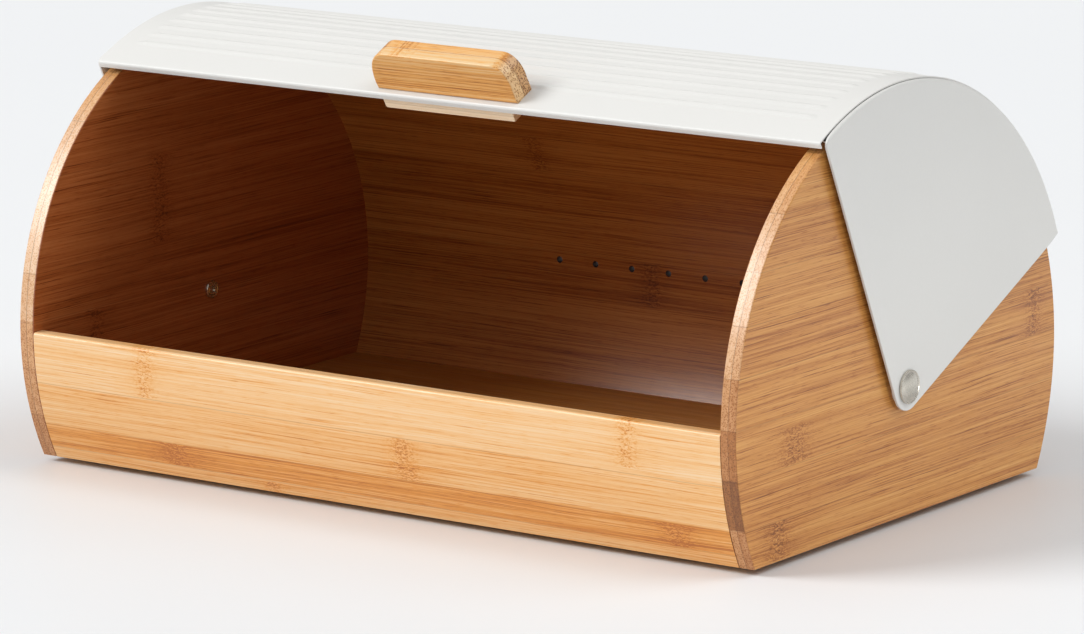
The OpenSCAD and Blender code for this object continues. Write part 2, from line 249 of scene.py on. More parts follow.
class Net:
    """A material's node tree, with short calls for the nodes used here."""

    def __init__(self, name):
        self.mat = bpy.data.materials.new(name)
        self.mat.use_nodes = True
        self.tree = self.mat.node_tree
        self.tree.nodes.clear()
        coord = self.node("ShaderNodeTexCoord")
        self.object = coord.outputs["Object"]
        self.normal = coord.outputs["Normal"]

    def node(self, kind, **settings):
        made = self.tree.nodes.new(kind)
        for key, value in settings.items():
            setattr(made, key, value)
        return made

    def feed(self, socket, value):
        if isinstance(value, bpy.types.NodeSocket):
            self.tree.links.new(value, socket)
        elif value is not None:
            socket.default_value = value

    def math(self, op, a, b=None, c=None):
        made = self.node("ShaderNodeMath", operation=op)
        for socket, value in zip(made.inputs, (a, b, c)):
            self.feed(socket, value)
        return made.outputs[0]

    def times(self, a, b):
        return self.math("MULTIPLY", a, b)

    def minus(self, a, b):
        return self.math("SUBTRACT", a, b)

    def fma(self, a, b, c):
        """a times b, plus c."""
        return self.math("MULTIPLY_ADD", a, b, c)

    def reach(self, a, b):
        """Distance from two offsets at a right angle."""
        return self.math("SQRT", self.math("ADD", self.times(a, a), self.times(b, b)))

    def most(self, a, b):
        """The larger of two values, of which the first may be missing."""
        return b if a is None else self.math("MAXIMUM", a, b)

    def split(self, vector):
        made = self.node("ShaderNodeSeparateXYZ")
        self.feed(made.inputs[0], vector)
        return made.outputs[0], made.outputs[1], made.outputs[2]

    def vec(self, x, y, z):
        made = self.node("ShaderNodeCombineXYZ")
        for socket, value in zip(made.inputs, (x, y, z)):
            self.feed(socket, value)
        return made.outputs[0]

    def noise(self, vector, scale=1.0, detail=2.0, rough=0.5, warp=0.0):
        made = self.node("ShaderNodeTexNoise")
        self.feed(made.inputs["Vector"], vector)
        self.feed(made.inputs["Scale"], scale)
        self.feed(made.inputs["Detail"], detail)
        self.feed(made.inputs["Roughness"], rough)
        self.feed(made.inputs["Distortion"], warp)
        return made.outputs["Fac"]

    def cells(self, vector):
        made = self.node("ShaderNodeTexVoronoi")
        self.feed(made.inputs["Vector"], vector)
        self.feed(made.inputs["Scale"], 1.0)
        return made.outputs["Distance"]

    def span(self, value, a, b, c=0.0, d=1.0, smooth=False):
        made = self.node("ShaderNodeMapRange", interpolation_type="SMOOTHSTEP" if smooth else "LINEAR")
        for socket, v in zip(made.inputs, (value, a, b, c, d)):
            self.feed(socket, v)
        return made.outputs[0]

    def ramp(self, value, stops, mode="LINEAR"):
        made = self.node("ShaderNodeValToRGB")
        band = made.color_ramp
        band.interpolation = mode
        while len(band.elements) < len(stops):
            band.elements.new(0.5)
        for element, (place, colour) in zip(band.elements, stops):
            element.position = place
            rgb = colour if isinstance(colour, (tuple, list)) else (colour, colour, colour)
            element.color = (*rgb, 1)
        self.feed(made.inputs[0], value)
        return made.outputs[0]

    def mix(self, fac, a, b, blend="MIX"):
        made = self.node("ShaderNodeMix", data_type="RGBA", blend_type=blend)
        self.feed(made.inputs[0], fac)
        self.feed(made.inputs[6], (*a, 1) if isinstance(a, tuple) else a)
        self.feed(made.inputs[7], (*b, 1) if isinstance(b, tuple) else b)
        return made.outputs[2]

    def bump(self, height, strength, distance):
        made = self.node("ShaderNodeBump")
        self.feed(made.inputs["Strength"], strength)
        self.feed(made.inputs["Distance"], distance)
        self.feed(made.inputs["Height"], height)
        return made.outputs[0]

    def surface(self, colour, rough, normal=None, metallic=0.0, level=0.5, coat=0.0, coat_rough=0.3):
        made = self.node("ShaderNodeBsdfPrincipled")
        self.feed(made.inputs["Base Color"], colour)
        self.feed(made.inputs["Roughness"], rough)
        self.feed(made.inputs["Normal"], normal)
        made.inputs["Metallic"].default_value = metallic
        made.inputs["Specular IOR Level"].default_value = level
        made.inputs["Coat Weight"].default_value = coat
        made.inputs["Coat Roughness"].default_value = coat_rough
        out = self.node("ShaderNodeOutputMaterial")
        self.tree.links.new(made.outputs[0], out.inputs[0])
        return self.mat


def srgb(r, g, b):
    """A display colour, 0 to 255, as the linear one that materials use."""
    return tuple(c / 255 / 12.92 if c <= 10.3 else ((c / 255 + 0.055) / 1.055) ** 2.4 for c in (r, g, b))


def palette(*colours):
    return [srgb(*colour) for colour in colours]


def scaled(colour, share):
    return tuple(min(1, c * share) for c in colour)


def evenly(colours):
    """Ramp stops at even steps."""
    return [(i / (len(colours) - 1), colour) for i, colour in enumerate(colours)]


def bamboo(name, grain, strips, knots, tones, ends, seed, drop=0.0, ply=None, contrast=1.0,
           inside=None, holes=None, cuts=None, stipple=0.26, crown=None):
    """Laminated bamboo. Lengths are in mm.
    grain names how the board lies; strips is [(start, tone)] across the board.
    knots is [(along, from, to, width)], the width as a share of the usual.
    tones and ends are the colours of faces and of cut ends, dark to light.
    drop is the pivots' height in the object's own space, in metres.
    ply is (depth, tone change) beyond a glue line through the thickness.
    inside is (way, limit or none, colour) for painted shade on a board's inner face: the colour is
    multiplied in there.
    holes is (place across, reach) of the row of vent drillings, whose walls get painted shade.
    cuts is strips for the cut ends, partly painted highlight on the side panels, and stipple is the
    strength of their dots.
    crown is (place across, tone change) of the part beyond it."""
    net = Net(name)
    x, y, z = net.split(net.object)
    nx, ny, _ = net.split(net.normal)
    if drop:
        z = net.minus(z, drop)
    if grain == "side":
        along, across, depth, end = y, z, x, ny
    elif grain == "curved":
        along, across, end = x, net.times(net.math("ARCTAN2", y, z), PANEL_R), nx
        depth = net.reach(y, z)
    elif grain == "board":
        along, across, depth, end = x, y, z, nx
    else:
        along, across, depth, end = x, z, y, nx
    u, v, w = (net.times(part, 1 / MM) for part in (along, across, depth))
    low, high = strips[0][0], strips[-1][0] + 60

    def lanes(bands):
        """A constant value for each strip across the board."""
        stops = [((start - low) / (high - low), value) for start, value in bands]
        return net.ramp(net.span(v, low, high), stops, "CONSTANT")

    tone = lanes(strips)
    shift = net.fma(tone, 173.0, seed)
    stub = lanes(cuts) if cuts else tone
    if ply:
        past = net.math("GREATER_THAN", w, ply[0])
        tone = net.fma(past, ply[1], tone)
        stub = net.fma(past, ply[1], stub)
        shift = net.fma(past, 31.0, shift)
    if crown:
        tone = net.fma(net.span(v, crown[0] - 0.5, crown[0]), crown[1], tone)

    def cloud(lengthways, crossways, *settings):
        """Noise over the face, different for each strip."""
        place = net.vec(net.times(u, lengthways), net.times(v, crossways), shift)
        return net.noise(place, 1.0, *settings)

    def peak(off, width, lane):
        """One on a knot's centre line, less beyond its width, nothing outside its strip."""
        far = net.math("POWER", net.math("ABSOLUTE", net.math("DIVIDE", off, width)), 2.8)
        return net.times(net.math("DIVIDE", 1.0, net.math("ADD", far, 1.0)), lane)

    knot, halo = None, None
    for place, start, stop, wide in knots:
        wave = net.noise(net.vec(v, 0.0, place), 0.16, 2)
        off = net.math("ADD", net.minus(u, place), net.fma(wave, 7.0, -3.5))
        rise = net.span(v, start - 0.2, start + 0.8, smooth=True)
        fall = net.span(v, stop + 0.2, stop - 0.8, smooth=True)
        lane = net.times(rise, fall)
        knot = net.most(knot, peak(off, KNOT_W * wide, lane))
        halo = net.most(halo, peak(off, HALO_W * wide, lane))

    # Fibres waver, more so through a knot
    bent = v
    if knots:
        sway = net.minus(cloud(0.22, 0.35, 2), 0.5)
        bent = net.fma(net.times(sway, knot), 5.0, v)
    bent = net.fma(cloud(0.008, 0.03, 1), 2.0, bent)

    def streak(length, width, detail, offset):
        """Noise drawn out along the fibres."""
        lengthways = net.fma(u, 1 / length, net.math("ADD", shift, offset))
        place = net.vec(lengthways, net.times(bent, 1 / width), net.times(w, 1 / width))
        return net.noise(place, 1.0, detail)

    broad = streak(240, 7.0, 1, 1.7)
    medium = streak(150, 2.0, 1, 11.3)
    fine = streak(85, 0.62, 2, 23.9)
    lines = net.span(streak(36, 0.4, 1, 61.3), 0.6, 0.75)
    specks = net.span(streak(7.5, 0.5, 1, 37.1), 0.58, 0.74)

    value = tone
    for layer, weight in ((broad, 0.2), (medium, 0.24), (fine, 1.0)):
        value = net.fma(net.minus(layer, 0.5), weight * contrast, value)
    for layer, weight in ((lines, -0.4), (specks, -0.2)):
        value = net.fma(layer, weight * contrast, value)
    if knots:
        ripple = net.times(knot, net.span(cloud(0.6, 1.2, 3, 0.6, 0.8), 0.46, 0.62))
        value = net.fma(halo, -0.07, value)
        value = net.fma(ripple, -0.38, value)
    colour = net.ramp(value, evenly(tones))

    # Cut ends show the fibre bundles as dots
    cut = net.span(net.math("ABSOLUTE", end), 0.35, 0.8, smooth=True)
    dots = net.cells(net.vec(net.times(v, 1.25), net.times(w, 1.25), net.times(u, 0.03)))
    dots = net.span(dots, 0.25, 0.5, 1.0, 0.0)
    mottle = net.noise(net.vec(net.times(v, 0.3), net.times(w, 0.8), shift), 1.0, 2)
    stub = net.fma(net.minus(mottle, 0.5), 0.4, stub)
    stub = net.fma(dots, -stipple, stub)
    colour = net.mix(net.times(cut, 0.85), colour, net.ramp(stub, evenly(ends)))

    # Glue lines between strips and between plies
    glue = None
    for start, _ in strips[1:]:
        gap = net.span(net.math("ABSOLUTE", net.minus(v, start)), 0.0, 0.3, 0.34, 0.0)
        glue = net.most(glue, gap)
    if ply:
        gap = net.span(net.math("ABSOLUTE", net.minus(w, ply[0])), 0.05, 0.3, 0.5, 0.0)
        glue = net.most(glue, gap)
    colour = net.mix(glue, colour, scaled(tones[0], 0.4))
    # Painted shade: the walls of the vent drillings are darkened, for the shade inside them
    if holes:
        lane = net.math("LESS_THAN", net.math("ABSOLUTE", net.minus(v, holes[0])), holes[1])
        beyond = net.math("GREATER_THAN", w, WALL_R / MM + 0.15)
        within = net.math("LESS_THAN", w, PANEL_R / MM - 0.15)
        colour = net.mix(net.times(lane, net.times(beyond, within)), colour, scaled(tones[0], 0.3))
    # Painted shade: the inner face is darkened by a multiplied colour, standing in for the dim light
    # inside the case
    if inside:
        way, limit, shade_tint = inside
        shade_mask = net.span(nx, 0.3, 0.7) if way == "x" else net.math("LESS_THAN", w, limit)
        colour = net.mix(shade_mask, colour, net.mix(1.0, colour, shade_tint, "MULTIPLY"))

    roughness = net.span(cloud(0.04, 0.15, 3), 0.25, 0.75, 0.34, 0.48)
    height = net.fma(specks, -0.8, fine)
    height = net.fma(lines, -0.6, height)
    if knots:
        height = net.fma(ripple, -1.0, height)
    normal = net.bump(height, 0.3, 0.00007)
    return net.surface(colour, roughness, normal, level=0.42, coat=0.3, coat_rough=0.24)


def paint(name, colour):
    """Satin powder coat: a soft orange peel and a slight unevenness."""
    net = Net(name)
    wide = net.noise(net.object, 9.0, 3)
    fleck = net.noise(net.object, 900.0, 2)
    shade = net.mix(net.span(wide, 0.3, 0.7), scaled(colour, 0.985), scaled(colour, 1.01))
    shade = net.mix(net.span(fleck, 0.3, 0.7, 0.0, 0.05), shade, scaled(colour, 0.8))
    peel = net.noise(net.object, 650.0, 2)
    coarse = net.noise(net.object, 2400.0, 1)
    height = net.fma(coarse, 0.35, peel)
    rough = net.span(net.noise(net.object, 40.0, 3), 0.3, 0.7, 0.36, 0.44)
    return net.surface(shade, rough, net.bump(height, 0.22, 0.00005), level=0.45)


def metal(name, colour, rough, turned=True):
    """Satin plated metal with fine turning marks about the pivot axis, or an even blasted grain."""
    net = Net(name)
    x, y, z = net.split(net.object)
    if turned:
        radius = net.reach(y, z)
        turn = net.math("ARCTAN2", y, z)
        rings = net.noise(net.vec(net.times(radius, 2600), 0.0, net.times(x, 400)), 1.0, 1)
        sweep = net.noise(net.vec(net.times(turn, 1.4), net.times(radius, 320), 0.0), 1.0, 2)
    else:
        rings = net.noise(net.object, 2600.0, 2)
        sweep = net.noise(net.object, 260.0, 2)
    shade = net.mix(net.span(sweep, 0.3, 0.7), scaled(colour, 0.86), colour)
    shade = net.mix(net.span(rings, 0.3, 0.7, 0.0, 0.12), shade, scaled(colour, 0.7))
    roughness = net.span(sweep, 0.3, 0.7, rough - 0.05, rough + 0.07)
    return net.surface(shade, roughness, net.bump(rings, 0.05, 0.00002), metallic=1.0)


def plain(name, colour, rough):
    """Nylon or rubber: mottled a little, with a fine moulded grain."""
    net = Net(name)
    speck = net.noise(net.object, 700.0, 3)
    wide = net.noise(net.object, 60.0, 2)
    dust = tuple(min(1, c * 1.6 + 0.02) for c in colour)
    shade = net.mix(net.span(wide, 0.3, 0.7), scaled(colour, 0.88), colour)
    shade = net.mix(net.span(speck, 0.35, 0.75, 0.0, 0.12), shade, dust)
    roughness = net.span(speck, 0.3, 0.7, rough - 0.06, rough + 0.06)
    return net.surface(shade, roughness, net.bump(speck, 0.25, 0.00006))


TAN = palette((122, 68, 24), (170, 103, 41), (202, 139, 69), (217, 160, 88), (227, 179, 114))
DEEP_TAN = [scaled(colour, 0.8) for colour in TAN]
HONEY = palette((184, 106, 38), (222, 149, 64), (234, 182, 120), (237, 200, 154), (241, 212, 176))
AMBER = palette((144, 80, 26), (198, 128, 52), (228, 166, 88), (228, 190, 136), (230, 198, 150))
PALE = palette((226, 184, 138), (244, 212, 172), (252, 226, 192), (254, 234, 206), (255, 240, 218))
CUT = palette((100, 52, 20), (164, 101, 50), (212, 163, 117), (239, 208, 178))
AMBER_CUT = palette((92, 50, 20), (164, 112, 62), (224, 180, 126), (246, 216, 168))
PALE_CUT = palette((170, 124, 80), (214, 172, 126), (238, 206, 166), (248, 224, 192))
# Painted shade: multipliers that darken the inner faces of the left side and the back, for the dim light
# inside the case
INNER_SIDE_SHADE, INNER_BACK_SHADE = (0.62, 0.4, 0.42), (0.8, 0.66, 0.52)

# Places in mm in a board's own measure: the side's middle glue line, and the back's vent holes
MID_PLY = (INNER_X + SIDE_X) / 2 / MM
VENTS = math.radians(90 - 3.2) * PANEL_R / MM
TOP_ARC = math.atan2(PANEL_R, FRONT_Z)


def down(mm):
    """Arc place on the front, in mm below its top edge, in the curved board's own measure."""
    return -(TOP_ARC * PANEL_R / MM + mm)


def in_strips(starts, tones):
    return list(zip(starts, tones))


RIGHT = (-58.5, -40.9, -18.8, 3.2, 24.8, 46.1, 67.4, 89.4, 111.0)
LEFT = (-58.5, -38.0, -16.0, 5.5, 27.5, 70.0, 92.0, 112.0)
BACK = (*range(-50, 83, 22), *range(101, 256, 22))
BASE = range(-110, 89, 22)

side_right = bamboo(
    "bamboo_side_right", "side",
    in_strips(RIGHT, (0.62, 0.56, 0.6, 0.58, 0.52, 0.6, 0.54, 0.62, 0.5)),
    [(-83, -18.8, -2, 2.0), (-96, -58, -40.9, 1.6), (109, 3.2, 24.8, 1.3), (20, 67.4, 89, 1)],
    TAN, CUT, 3.1, ply=(MID_PLY, -0.08),
    # Cut-end tones: partly the strips' own colour, partly a painted highlight where the edge catches the
    # key light
    cuts=in_strips(RIGHT, (0.52, 0.18, 0.4, 0.56, 0.76, 0.88, 0.82, 0.74, 0.66)),
)
side_left = bamboo(
    "bamboo_side_left", "side",
    in_strips(LEFT, (0.4, 0.5, 0.46, 0.38, 0.46, 0.42, 0.54, 0.44)),
    [(-36, 27.5, 70, 1.3), (-84, -16, 5.5, 1)],
    TAN, CUT, 19.4, ply=(-MID_PLY, 0.04), inside=("x", None, INNER_SIDE_SHADE),
    # Cut-end tones: partly the strips' own colour, partly a painted highlight where the edge catches the
    # key light
    cuts=in_strips(LEFT, (0.46, 0.54, 0.6, 0.78, 0.92, 0.86, 0.8)),
)
front_wood = bamboo(
    "bamboo_front", "curved",
    [(down(63), 0.46), (down(56.2), 0.27), (down(44.0), 0.5), (down(23.4), 0.62), (down(-6), 0.6)],
    [(-123, down(23.4), down(-4), 1), (19, down(44), down(23.4), 1.3), (139, down(21), down(-4), 1),
     (-113, down(56.2), down(44), 1.4), (159, down(56.2), down(44), 1.3), (-60, down(63), down(56.5), 1)],
    HONEY, CUT, 7.7, contrast=0.85,
)
back_wood = bamboo(
    "bamboo_back", "curved",
    in_strips(BACK, (0.5, 0.42, 0.55, 0.45, 0.52, 0.4, 0.5, 0.42, 0.5, 0.4, 0.52, 0.42, 0.5, 0.45, 0.5)),
    [(-75, 123, 145, 1), (60, 145, 167, 1), (-20, 189, 211, 1), (-130, 16, 38, 1), (30, -6, 16, 1)],
    TAN, CUT, 27.2, drop=PIVOT.z, inside=("r", WALL_R / MM + 0.6, INNER_BACK_SHADE), holes=(VENTS, 3.0),
)
base_wood = bamboo(
    "bamboo_base", "board",
    in_strips(BASE, (0.5, 0.42, 0.52, 0.46, 0.55, 0.45, 0.5, 0.42, 0.54, 0.46)),
    [(-90, -66, -44, 1), (70, -22, 0, 1), (-30, 22, 44, 1), (130, 44, 66, 1)],
    DEEP_TAN, CUT, 41.9,
)
handle_wood = bamboo(
    "bamboo_handle", "bar", [(120.0, 0.5), (134.5, 0.46), (147.0, 0.56)], [(-20, 151.5, 160, 1)],
    AMBER, AMBER_CUT, 13.3, ply=(0.0, -0.24), cuts=[(120.0, 0.84)], stipple=0.6, crown=(152.9, 0.3),
)
batten_wood = bamboo(
    "bamboo_batten", "bar", [(100.0, 0.55), (128.0, 0.62)], [], PALE, PALE_CUT, 51.3, contrast=0.6
)
dowel_wood = bamboo("dowel_wood", "bar", [(-200.0, 0.5), (0.0, 0.52)], [], HONEY, CUT, 61.7)
lid_paint = paint("lid_paint", (0.715, 0.71, 0.685))
# Painted shade: a near-black finish, used only on the flange faces in the seam under the lid sheet
seam_shade = metal("seam_shade", (0.07, 0.07, 0.068), 0.5, turned=False)
nickel = metal("pivot_nickel", (0.68, 0.64, 0.56), 0.24)
zinc = metal("screw_zinc", (0.50, 0.50, 0.49), 0.38, turned=False)
nylon = plain("spacer_nylon", (0.78, 0.78, 0.74), 0.5)
rubber = plain("foot_rubber", (0.035, 0.035, 0.036), 0.7)


# ---------------------------------------------------------------- the case


def on_x(p, q, w):
    """A point from its place in Y and Z and its place along X."""
    return (w, p, q)


def side_panels():
    """Discs with a flat base, their edges eased, drilled for the pivots."""
    half_flat = math.degrees(math.acos(-FLAT_Z / PANEL_R))
    disc = arc(PANEL_R, half_flat - 180, 180 - half_flat, 180)
    start, stop = disc[0][0], disc[-1][0]
    disc += [(stop + (start - stop) * k / 24, FLAT_Z) for k in range(1, 24)]
    for side, name, wood in ((-1, "left", side_left), (1, "right", side_right)):
        layers = [(side * w, inset) for w, inset in eased(INNER_X, SIDE_X, 0.7 * MM)]
        obj = build(f"panel_{name}", *slab(disc, layers, on_x, hole=(0.0, 0.0, BORE_R)), [wood])
        finish_piece(obj, "case", "bamboo_side", f"side_panel_{name}")


def front_board():
    """A curved board whose top edge is eased, more on the outside."""
    flat_out = math.degrees(math.acos(FLAT_Z / PANEL_R))
    flat_in = math.degrees(math.acos(FLAT_Z / WALL_R))
    top_out = math.degrees(math.acos(FRONT_Z / PANEL_R))
    top_in = math.degrees(math.acos(FRONT_Z / WALL_R))
    outer = arc(PANEL_R, -flat_out, -top_out - 0.75, 40)
    inner = arc(WALL_R, -top_in - 0.5, -flat_in, 36)
    y_out = -math.sqrt(PANEL_R**2 - FRONT_Z**2)
    y_in = -math.sqrt(WALL_R**2 - FRONT_Z**2)
    ease_out, ease_in = 1.5 * MM, 0.9 * MM
    edge_out = arc(ease_out, -90, 0, 6, (y_out + ease_out, FRONT_Z - ease_out))
    edge_in = arc(ease_in, 0, 90, 5, (y_in - ease_in, FRONT_Z - ease_in))
    layers = eased(-INNER_X, INNER_X, 0.12 * MM, 1)
    obj = build("front_board", *slab(outer + edge_out + edge_in + inner, layers, on_x), [front_wood])
    finish_piece(obj, "case", "bamboo_front", "front_panel")


def foot(node):
    """A low rubber button, a little tapered, with a recess for its screw."""
    lo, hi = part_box(node)
    mid = (lo + hi) / 2
    r, h = (hi.x - lo.x) / 2, hi.z - lo.z
    hole, recess, seat = 1.4 * MM, 3.0 * MM, 1.7 * MM
    profile = [
        (recess, seat - 0.2 * MM), (recess - 0.05 * MM, seat - 0.25 * MM), (r - 1.0 * MM, 0.0),
        (r - 0.45 * MM, 0.12 * MM), (r - 0.2 * MM, 0.5 * MM), (r, h - 0.1 * MM), (r - 0.1 * MM, h),
        (hole, h), (hole, seat), (recess, seat),
    ]
    n = 48
    verts, faces = [], []
    for radius, height in profile:
        for i in range(n):
            a = 2 * math.pi * i / n
            x, y = mid.x + radius * math.cos(a), mid.y + radius * math.sin(a)
            verts.append((x, y, lo.z + height - PIVOT.z))
    for k in range(len(profile)):
        after = (k + 1) % len(profile)
        for i in range(n):
            j = (i + 1) % n
            faces.append((k * n + i, k * n + j, after * n + j, after * n + i))
    finish_piece(build(node + "_button", verts, faces, [rubber]), "case", "foot_rubber", node)


def pivot_head(side, name):
    """Pivot screw: a shouldered shank and a round head, domed inside a narrow rim."""
    under = PLATE_OUT + 0.15 * MM
    rim = screw_hi.x - 0.72 * MM
    head_r, dome_r = 7.5 * MM, 6.4 * MM
    steps = 8
    profile = [
        (SIDE_X - 6.5 * MM, 0.6 * MM), (SIDE_X - 6.5 * MM, 2.0 * MM), (SIDE_X, 2.0 * MM),
        (SIDE_X, SHANK_R), (under, SHANK_R), (under, head_r - 0.15 * MM), (under + 0.12 * MM, head_r),
        (rim - 0.3 * MM, head_r), (rim - 0.08 * MM, head_r - 0.08 * MM), (rim, head_r - 0.3 * MM),
        (rim, head_r - 0.55 * MM), (rim - 0.2 * MM, head_r - 0.75 * MM),
        (rim - 0.24 * MM, head_r - 0.95 * MM),
    ]
    for k in range(steps, -1, -1):
        share = k / steps
        profile.append((rim - 0.2 * MM + 0.9 * MM * (1 - share**2), dome_r * share))
    obj = build(f"pivot_head_{name}", *lathe(profile, side), [nickel], 50)
    finish_piece(obj, "case", "pivot_nickel", f"pivot_screw_{name}")


def pivot_cap(side, name):
    """Sleeve nut: its round flange inside the case, with a raised ring and a key socket."""
    face = nut_lo.x
    flange_r, socket_r = 4.25 * MM, 1.5 * MM
    profile = [
        (INNER_X, flange_r), (face + 0.35 * MM, flange_r), (face + 0.1 * MM, flange_r - 0.13 * MM),
        (face, 3.85 * MM), (face, 3.35 * MM), (face + 0.22 * MM, 3.15 * MM), (face + 0.22 * MM, 2.95 * MM),
        (face + 0.02 * MM, 2.7 * MM), (face, 1.9 * MM), (face + 0.1 * MM, socket_r + 0.05 * MM),
        (face + 0.72 * MM, socket_r), (face + 0.75 * MM, 0.2 * MM), (face + 0.75 * MM, 0.0),
    ]
    obj = build(f"pivot_cap_{name}", *lathe(profile, side), [nickel], 50)
    finish_piece(obj, "case", "pivot_nickel", f"pivot_nut_{name}")


# ---------------------------------------------------------------- the lid


def sheet_path():
    """(y, z, normal y, normal z, angle) along the sheet's outer face, front lip to rear lip."""
    out = []
    bend = math.degrees(BEND / LID_R)
    for edge, way in ((LID_FRONT, 1), (LID_REAR, -1)):
        part = []
        ey, ez = at(1, edge)
        ty, tz = at(1, edge - 90 * way)
        for k in range(3):
            r = LID_R - LIP + (LIP - BEND) * k / 2
            part.append((r * ey, r * ez, ty, tz, edge))
        cy, cz = at(LID_R - BEND, edge)
        cy, cz = cy - ty * BEND, cz - tz * BEND
        for k in range(1, 8):
            t = math.pi / 2 * k / 8
            ny = ty * math.cos(t) + ey * math.sin(t)
            nz = tz * math.cos(t) + ez * math.sin(t)
            part.append((cy + ny * BEND, cz + nz * BEND, ny, nz, edge))
        if way > 0:
            out += part
            a = LID_FRONT + bend
            while a <= LID_REAR - bend + 1e-6:
                y, z = at(1, a)
                out.append((y * LID_R, z * LID_R, y, z, a))
                a += SHEET_STEP
        else:
            out += part[::-1]
    return out


def rib(x, a):
    """Height of the ribs at a place on the sheet."""
    i = round((a - RIB_FIRST) / RIB_PITCH)
    if not 0 <= i < RIB_COUNT:
        return 0.0
    off = math.radians(a - RIB_FIRST - i * RIB_PITCH) * LID_R
    over = max(0.0, abs(x) - (RIB_X - RIB_RUN))
    d = math.hypot(off / (RIB_W / 2), over / RIB_RUN)
    return RIB_H * 0.5 * (1 + math.cos(math.pi * d)) if d < 1 else 0.0


def sheet_columns():
    """Places along X at which the sheet has points: close together where the ribs run out."""
    run_out = [RIB_X - RIB_RUN * (1 - k / 8) for k in range(9)]
    edges = [SHEET_X - 0.15 * MM, SHEET_X]
    middle = [SHEET_X * k / 12 for k in range(11)]
    return sorted({side * x for x in run_out + edges + middle for side in (-1, 1)})


def lid_sheet():
    """A thin curved sheet with a bent lip along each long edge and soft raised ribs."""
    columns, line = sheet_columns(), sheet_path()
    count = len(line)
    verts, faces = [], []
    for x in columns:
        trim = 0.1 * MM if abs(x) > SHEET_X - 0.01 * MM else 0.0
        for lift in (-trim, trim - SHEET_T):
            for y, z, ny, nz, a in line:
                up = rib(x, a) + lift
                verts.append((x, y + ny * up, z + nz * up))
    for c in range(len(columns) - 1):
        a, b = c * 2 * count, (c + 1) * 2 * count
        for i in range(count - 1):
            for p, q in ((a + i, b + i), (a + count + i, b + count + i)):
                faces.append((p, p + 1, q + 1, q))
        for i in (0, count - 1):
            faces.append((a + i, a + count + i, b + count + i, b + i))
    for c in (0, len(columns) - 1):
        a = c * 2 * count
        for i in range(count - 1):
            faces.append((a + i, a + i + 1, a + count + i + 1, a + count + i))
    obj = build("lid_sheet", verts, faces, [lid_paint], 50)
    finish_piece(obj, "lid", "lid_paint", "lid_shell")


def sector():
    """Outline of an end plate, and what each of its points is on: the arc, a corner or an edge."""
    slip = math.degrees(math.asin(APEX_R / SHEET_IN))
    f_dir, r_dir = Vector(at(1, PLATE_FRONT + slip)), Vector(at(1, PLATE_REAR - slip))
    f_foot = Vector((-f_dir.y, f_dir.x)) * APEX_R
    r_foot = Vector((r_dir.y, -r_dir.x)) * APEX_R
    run = math.sqrt(SHEET_IN**2 - APEX_R**2)
    round_off = math.degrees(CORNER / SHEET_IN)
    pts, kinds = [], []

    def add(point, kind):
        pts.append(tuple(point))
        kinds.append(kind)

    start = math.degrees(math.atan2(*f_foot))
    stop = math.degrees(math.atan2(*r_foot))
    for k in range(25):
        add(at(APEX_R, stop + (start - stop) % 360 * k / 24), "edge")
    for k in range(1, 24):
        add(f_foot + f_dir * ((run - CORNER) * k / 24), "edge")
    tip = f_foot + f_dir * run
    leave, join = tip - f_dir * CORNER, Vector(at(SHEET_IN, PLATE_FRONT + round_off))
    for k in range(9):
        t = k / 8
        add(leave * (1 - t) ** 2 + tip * (2 * t * (1 - t)) + join * t**2, "corner")
    a0, a1 = PLATE_FRONT + round_off, PLATE_REAR - 0.12
    for k in range(1, 121):
        add(at(SHEET_IN, a0 + (a1 - a0) * k / 120), "arc")
    for k in range(1, 24):
        add(r_foot + r_dir * (run * (1 - k / 24)), "edge")
    return pts, kinds


